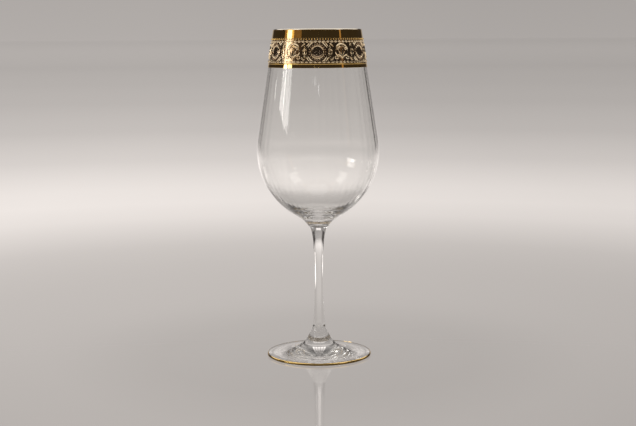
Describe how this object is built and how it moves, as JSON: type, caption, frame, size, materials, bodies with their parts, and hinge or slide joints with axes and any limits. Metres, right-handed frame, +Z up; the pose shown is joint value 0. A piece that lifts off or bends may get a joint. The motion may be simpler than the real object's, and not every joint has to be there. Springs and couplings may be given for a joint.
{
  "type": "water goblet",
  "caption": "Tall crystal water goblet with a tapering bowl, drawn stem and broad foot, a gilded relief frieze under the lip and a gold line round the foot.",
  "frame": {"origin": "middle of the foot, on the surface that the goblet stands on", "axes": "+Z up along the stem, through the middle of the bowl's mouth; a medallion of the frieze faces -Y"},
  "size_m": [0.0894, 0.0894, 0.2401],
  "materials": {
    "crystal": "fire-polished clear crystal",
    "bright_gold": "burnished bright gold",
    "relief_gold": "gold over etched relief"
  },
  "bodies": {
    "root": {"bowl": "crystal", "stem": "crystal", "foot": "crystal", "lip_gilding": "bright_gold", "rim_band": "bright_gold", "bead_strip": "relief_gold", "bead_row": "relief_gold", "frieze_ground": "relief_gold", "medallion_rings": "relief_gold", "medallion_pearls": "relief_gold", "medallion_bosses": "relief_gold", "palmette_arches": "relief_gold", "palmettes": "relief_gold", "tall_leaves": "relief_gold", "border_leaf_rows": "relief_gold", "fine_line": "bright_gold", "base_band": "bright_gold", "foot_line": "bright_gold"}
  },
  "joints": []
}
